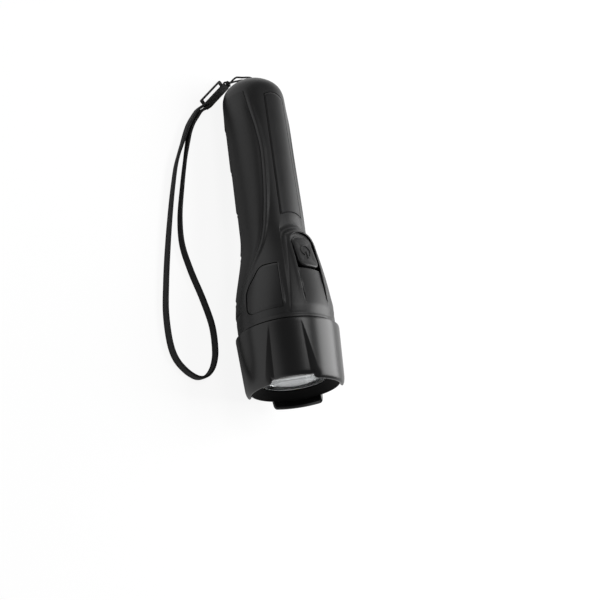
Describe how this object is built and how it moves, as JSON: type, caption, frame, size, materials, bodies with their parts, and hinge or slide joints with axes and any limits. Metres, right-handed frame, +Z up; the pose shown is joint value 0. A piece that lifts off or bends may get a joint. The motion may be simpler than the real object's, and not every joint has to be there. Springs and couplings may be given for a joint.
{
  "type": "hand torch",
  "caption": "Rubber-clad battery LED torch with a screw-off head, a push button under a hood and a wrist lanyard, lying on its back.",
  "frame": {"origin": "bottom centre of the rigid torch, on the floor it lies on", "axes": "+Z up, -Y towards the head, +X to the right seen from the tail"},
  "size_m": [0.0892, 0.2009, 0.0582],
  "materials": {
    "body_abs": "satin moulded ABS, black",
    "panel_abs": "fine spark texture moulded ABS, black",
    "soft_rubber": "soft overmoulded elastomer, black, matt",
    "button_rubber": "soft moulded elastomer, black, satin",
    "white_silicone": "translucent white silicone",
    "inner_abs": "moulded ABS, dark grey",
    "white_acetal": "moulded acetal, white",
    "white_board": "white solder mask on a metal-core board",
    "phosphor": "clear dome over yellow phosphor",
    "cell_jacket": "plain printed cell jacket, blue grey",
    "spring_steel": "nickel-plated steel",
    "brass_sheet": "rolled brass",
    "cast_aluminium": "die-cast aluminium, turned faces",
    "metallised": "vacuum-metallised bowl with fine facets",
    "head_abs": "semi-gloss moulded ABS, black",
    "clear_lens": "clear polycarbonate",
    "clasp_acetal": "moulded acetal, black",
    "nylon_cord": "braided nylon cord, black",
    "nylon_webbing": "woven nylon ribbon, black"
  },
  "bodies": {
    "torch_body": {"body_shell": "body_abs", "grip_sleeve": "soft_rubber", "spine_panel": "panel_abs", "side_panel_left": "panel_abs", "side_panel_right": "panel_abs", "anti_roll_foot": "soft_rubber", "button_seal": "soft_rubber", "switch_housing": "inner_abs", "cell_1": "cell_jacket", "cell_2": "cell_jacket", "tail_spring": "spring_steel", "tail_contact": "brass_sheet", "return_strip": "brass_sheet", "head_o_ring": "soft_rubber", "lanyard_cord": "nylon_cord", "lanyard_knot": "nylon_cord", "lanyard_clasp": "clasp_acetal", "lanyard_strap": "nylon_webbing"},
    "button": {"button": "button_rubber", "switch_plunger": "white_acetal"},
    "light_engine": {"front_contact": "brass_sheet", "pedestal": "inner_abs", "heat_sink": "cast_aluminium", "led_board": "white_board", "led_emitter": "phosphor", "board_screw_1": "spring_steel", "board_screw_2": "spring_steel", "reflector": "metallised"},
    "head": {"head_shell": "head_abs", "lens": "clear_lens", "lens_gasket": "white_silicone", "retainer_ring": "inner_abs"}
  },
  "joints": [
    {"name": "button_press", "type": "slide", "parent": "torch_body", "child": "button", "axis": [0, -0.0773, -0.997], "range_m": [0, 0.0015], "stiffness_N_per_m": 400},
    {"name": "head_travel", "type": "slide", "parent": "torch_body", "child": "light_engine", "axis": [0, -0.997, 0.0773], "range_m": [0, 0.006]},
    {"name": "head_turn", "type": "hinge", "parent": "light_engine", "child": "head", "pos_m": [0, -0.06032, 0.02934], "axis": [0, -0.997, 0.0773], "range_deg": [0, 720]}
  ],
  "couplings": [
    {"joint": "head_travel", "follows": "head_turn", "m_per_rad": 0.00047746}
  ]
}
